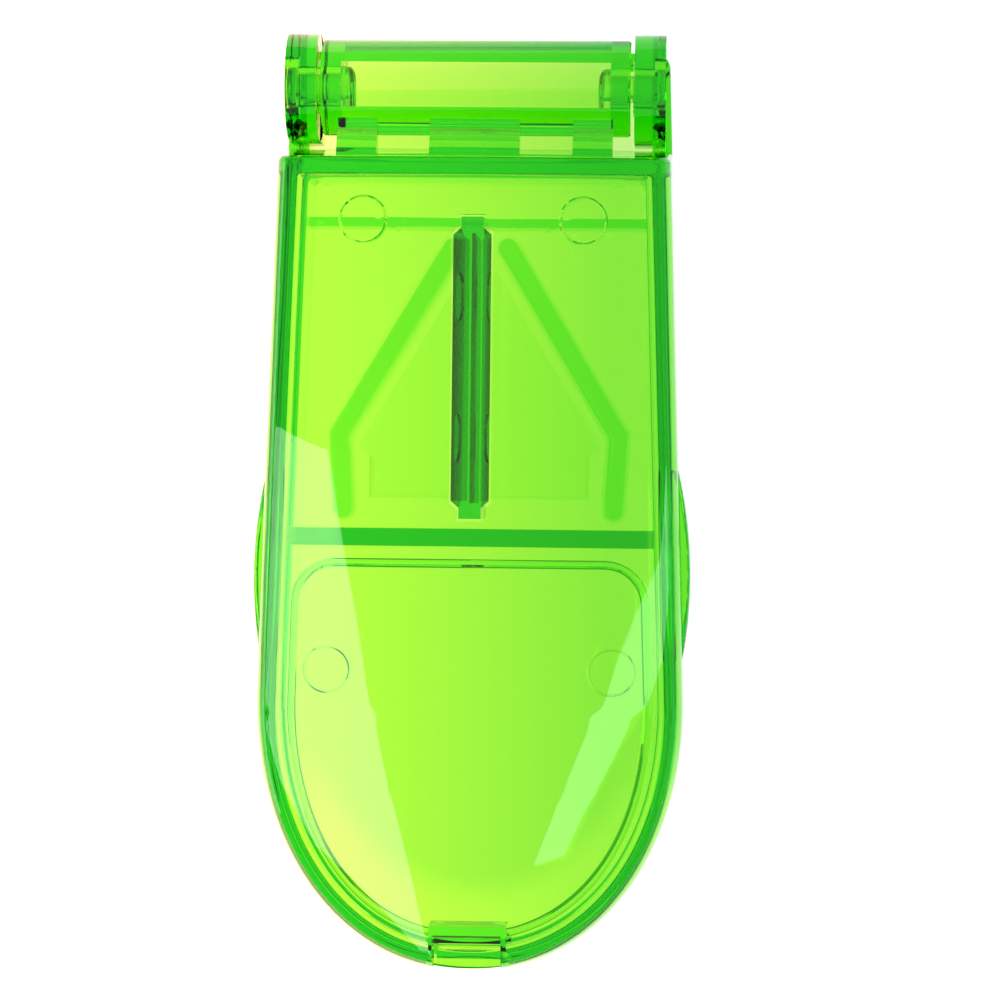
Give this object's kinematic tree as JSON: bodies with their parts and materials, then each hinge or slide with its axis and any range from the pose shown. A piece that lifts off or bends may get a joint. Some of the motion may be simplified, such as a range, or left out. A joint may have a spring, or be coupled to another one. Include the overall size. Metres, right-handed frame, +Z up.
{
  "type": "pill splitter",
  "caption": "Hinged pill splitter: a lid with a blade closes on a tray with a V-shaped pill rest and a rounded storage well.",
  "frame": {"origin": "centre of the underside of the closed splitter's bounding box", "axes": "+Z up, +Y towards the hinge, -Y towards the rounded latch end, +X to the right seen from above"},
  "size_m": [0.0396, 0.085, 0.02],
  "materials": {
    "base_tray": "clear tinted, polished",
    "lid": "clear tinted, polished",
    "blade_holder": "clear tinted, polished",
    "blade": "ground",
    "hinge_pin_left": "clear tinted, polished",
    "hinge_pin_right": "clear tinted, polished"
  },
  "bodies": {
    "tray": {"base_tray": "base_tray", "hinge_pin_left": "hinge_pin_left", "hinge_pin_right": "hinge_pin_right"},
    "lid": {"lid": "lid", "blade_holder": "blade_holder", "blade": "blade"}
  },
  "joints": [
    {"name": "lid_hinge", "type": "hinge", "parent": "tray", "child": "lid", "pos_m": [0, 0.03765, 0.0135], "axis": [-1, 0, 0], "range_deg": [0, 110]}
  ]
}
